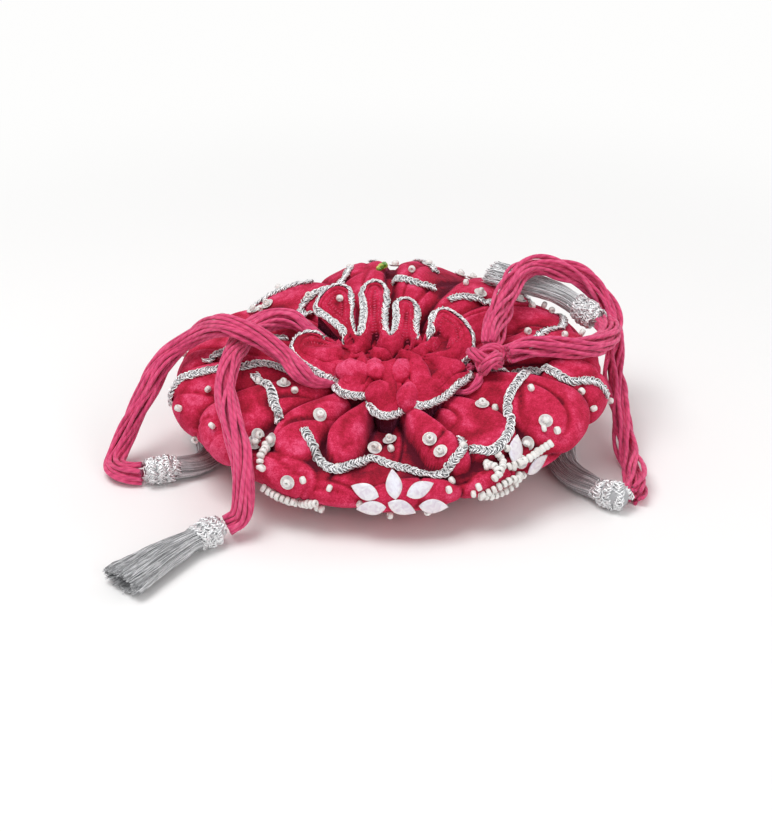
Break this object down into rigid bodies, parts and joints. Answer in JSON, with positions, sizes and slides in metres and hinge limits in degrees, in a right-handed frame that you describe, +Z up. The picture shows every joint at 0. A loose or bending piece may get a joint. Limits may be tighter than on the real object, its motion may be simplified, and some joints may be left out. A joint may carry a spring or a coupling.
{
  "type": "drawstring potli bag",
  "caption": "Round velvet drawstring bag, drawn shut with a ruffled mouth, silver braid lattice, beadwork and tasselled drawstring ends.",
  "frame": {"origin": "middle of the bag's flat base, where it rests on the table", "axes": "+Z up; +Y from the front, where the shell flower is, to the back; +X to the viewer's right"},
  "size_m": [0.2321, 0.2103, 0.0709],
  "materials": {
    "velvet": "crimson velvet pile with a pink sheen on the ridges",
    "cotton_yarn": "matte twisted pink yarn",
    "silver_thread": "knitted and cut silver metallic thread",
    "white_seed_beads": "glossy white beads",
    "mother_of_pearl": "pearly shell petals and sequins",
    "green_beads": "clear green faceted beads"
  },
  "bodies": {
    "root": {"velvet_bag": "velvet", "rim_braid": "silver_thread", "lattice_left_top": "silver_thread", "lattice_left_down": "silver_thread", "lattice_front": "silver_thread", "lattice_right_down": "silver_thread", "lattice_right_outer": "silver_thread", "lattice_right_back": "silver_thread", "lattice_back_right": "silver_thread", "lattice_back_crest": "silver_thread", "lattice_back_left": "silver_thread", "lattice_left_back": "silver_thread", "lattice_rear_1": "silver_thread", "lattice_rear_2": "silver_thread", "lattice_rear_3": "silver_thread", "drawstring_turn_left": "cotton_yarn", "drawstring_turn_right": "cotton_yarn", "cord_left_back": "cotton_yarn", "cord_left_front": "cotton_yarn", "cord_right_back": "cotton_yarn", "cord_right_front": "cotton_yarn", "lead_right_front": "cotton_yarn", "lead_right_side": "cotton_yarn", "knot_right": "cotton_yarn", "tassel_cap_left_back": "silver_thread", "tassel_skirt_left_back": "silver_thread", "tassel_cap_left_front": "silver_thread", "tassel_skirt_left_front": "silver_thread", "tassel_cap_right_back": "silver_thread", "tassel_skirt_right_back": "silver_thread", "tassel_cap_right_front": "silver_thread", "tassel_skirt_right_front": "silver_thread", "sequin_1": "mother_of_pearl", "sequin_2": "mother_of_pearl", "sequin_3": "mother_of_pearl", "sequin_4": "mother_of_pearl", "sequin_5": "mother_of_pearl", "sequin_6": "mother_of_pearl", "sequin_7": "mother_of_pearl", "sequin_8": "mother_of_pearl", "shell_petal_top": "mother_of_pearl", "shell_petal_upper_left": "mother_of_pearl", "shell_petal_upper_right": "mother_of_pearl", "shell_petal_lower_left": "mother_of_pearl", "shell_petal_right": "mother_of_pearl", "shell_petal_middle": "mother_of_pearl", "shell_petal_side_upper": "mother_of_pearl", "shell_petal_side_lower": "mother_of_pearl", "bead_string_left": "white_seed_beads", "bead_string_left_low": "white_seed_beads", "bead_string_right": "white_seed_beads", "bead_string_right_low": "white_seed_beads", "bead_string_right_side": "white_seed_beads", "faceted_beads": "green_beads"}
  },
  "joints": []
}
